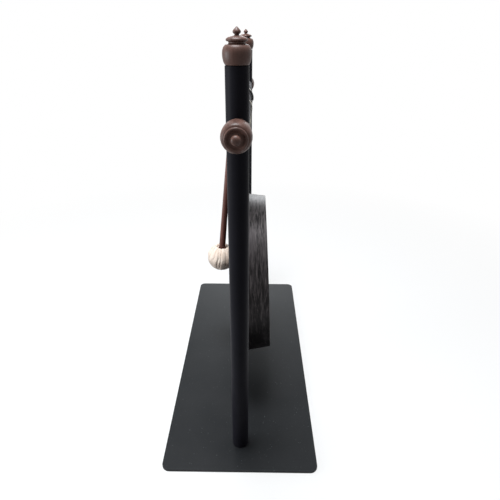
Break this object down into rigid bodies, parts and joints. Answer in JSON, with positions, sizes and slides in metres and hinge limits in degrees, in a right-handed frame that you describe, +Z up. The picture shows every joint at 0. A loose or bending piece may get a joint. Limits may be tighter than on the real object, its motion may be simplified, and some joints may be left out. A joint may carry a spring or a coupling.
{
  "type": "tam tam gong",
  "caption": "Small bronze tam tam gong hung by cords from the crossbar of a steel table stand with turned wood ends, with a cloth-headed mallet hanging in front of it.",
  "frame": {"origin": "middle of the base plate's underside, on the surface that the stand rests on", "axes": "+Z up, +X along the crossbar towards the right post as seen from the gong's face, -Y the way the gong's face looks"},
  "size_m": [0.401, 0.18, 0.4514],
  "materials": {
    "plate_black": "semi-gloss black",
    "tube_black": "high-gloss black",
    "turned_wood": "satin varnish",
    "bronze": "hammered, satin",
    "pale_cord": "twisted cord",
    "handle_wood": "satin varnish",
    "core_wood": "bare",
    "cream_cloth": "woven, gathered",
    "zinc_steel": "zinc plated",
    "black_wire": "black wire"
  },
  "bodies": {
    "stand": {"base_plate": "plate_black", "base_screw_left": "zinc_steel", "base_screw_right": "zinc_steel", "foot_insert_left": "zinc_steel", "foot_insert_right": "zinc_steel", "post_left": "tube_black", "post_right": "tube_black", "finial_left": "turned_wood", "finial_right": "turned_wood", "bar_insert_left": "zinc_steel", "bar_insert_right": "zinc_steel", "bar_stud_left": "zinc_steel", "bar_stud_right": "zinc_steel", "bar_knob_left": "turned_wood", "bar_knob_right": "turned_wood", "crossbar": "tube_black"},
    "hung_gong": {"gong": "bronze", "gong_cord_left": "pale_cord", "gong_cord_right": "pale_cord"},
    "hook": {"mallet_hook": "black_wire"},
    "mallet": {"mallet_loop": "pale_cord", "mallet_handle": "handle_wood", "mallet_core": "core_wood", "mallet_cover": "cream_cloth"}
  },
  "joints": [
    {"name": "gong_swing", "type": "hinge", "parent": "stand", "child": "hung_gong", "pos_m": [0, 0, 0.377], "axis": [1, 0, 0], "range_deg": [-25, 25]},
    {"name": "hook_swing", "type": "hinge", "parent": "hung_gong", "child": "hook", "pos_m": [-0.028, 0, 0.377], "axis": [1, 0, 0], "range_deg": [-60, 0]},
    {"name": "mallet_lift", "type": "slide", "parent": "hook", "child": "mallet", "axis": [0, -0.5, 0.866], "range_m": [0, 0.12]}
  ]
}
